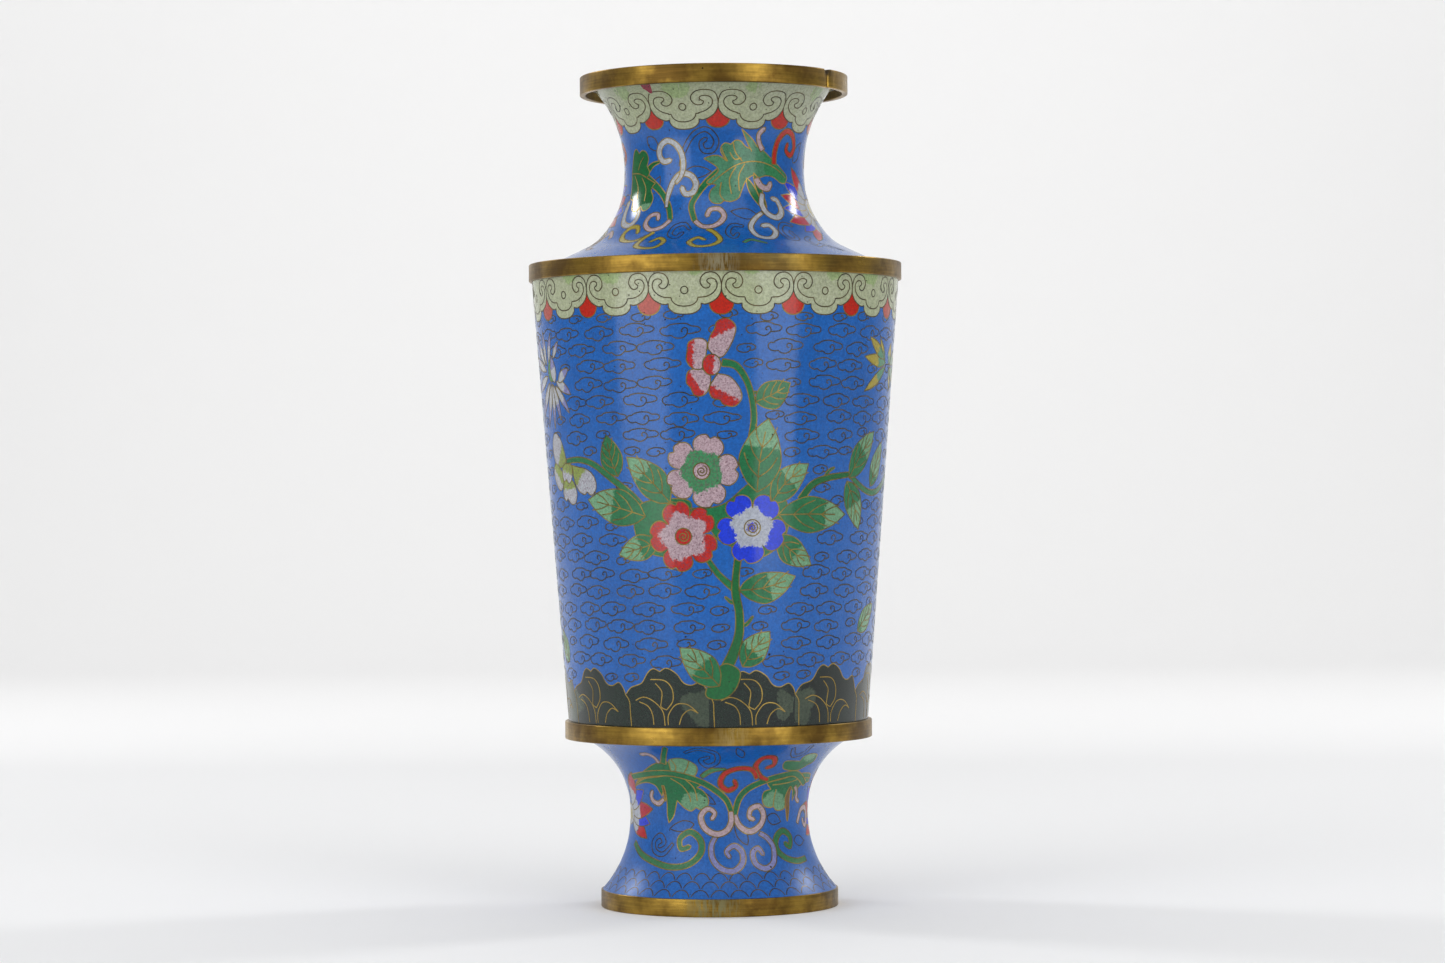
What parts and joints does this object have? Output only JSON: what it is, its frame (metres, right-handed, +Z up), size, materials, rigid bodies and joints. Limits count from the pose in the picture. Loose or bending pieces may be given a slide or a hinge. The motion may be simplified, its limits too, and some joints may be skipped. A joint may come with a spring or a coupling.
{
  "type": "cloisonne vase",
  "caption": "Tall footed vase with tapered body, flared neck and foot, brass rims and wired enamel flowers on a blue ground.",
  "frame": {"origin": "centre of the foot ring's flat underside, on the vase's axis", "axes": "+Z up the axis, -Y towards the side with the flowering plum spray, +X to its viewer's right"},
  "size_m": [0.1144, 0.1144, 0.254],
  "materials": {
    "rim_brass": "old gilt brass, brushed round, brown in the corners",
    "copper": "bare copper, dull",
    "solder": "grey silver solder, dull",
    "wire": "fine gilt wire, ground level with the enamel",
    "ground_enamel": "polished glass enamel, sky blue, speckled and pitted",
    "lining_enamel": "plain turquoise counter enamel, glossy",
    "lappet_enamel": "polished glass enamel, pale green",
    "red_enamel": "polished glass enamel, brick red",
    "pink_enamel": "polished glass enamel, pink with darker speckle",
    "cobalt_enamel": "polished glass enamel, cobalt blue",
    "yellow_enamel": "polished glass enamel, yellow",
    "leaf_enamel": "polished glass enamel, green running to pale green",
    "stem_enamel": "polished glass enamel, olive",
    "rock_enamel": "polished glass enamel, near black with grey-green patches"
  },
  "bodies": {
    "root": {"mouth_rim": "rim_brass", "shoulder_ring": "rim_brass", "waist_ring": "rim_brass", "foot_ring": "rim_brass", "neck_shell": "copper", "body_shell": "copper", "foot_shell": "copper", "body_floor": "copper", "mouth_solder": "solder", "shoulder_solder": "solder", "floor_solder": "solder", "waist_solder": "solder", "foot_solder": "solder", "neck_lining": "lining_enamel", "body_lining": "lining_enamel", "foot_lining": "lining_enamel", "floor_lining": "lining_enamel", "neck_ground_enamel": "ground_enamel", "body_ground_enamel": "ground_enamel", "foot_ground_enamel": "ground_enamel", "mouth_lappets": "lappet_enamel", "mouth_lappet_wires": "wire", "mouth_drops": "red_enamel", "mouth_drop_wires": "wire", "shoulder_lappets": "lappet_enamel", "shoulder_lappet_wires": "wire", "shoulder_drops": "red_enamel", "shoulder_drop_wires": "wire", "rocks": "rock_enamel", "rock_wires": "wire", "pink_blossom": "pink_enamel", "red_blossom": "red_enamel", "blue_blossom": "cobalt_enamel", "blossom_eyes": "yellow_enamel", "blossom_wires": "wire", "leaves": "leaf_enamel", "leaf_wires": "wire", "stems": "stem_enamel", "stem_wires": "wire"}
  },
  "joints": []
}
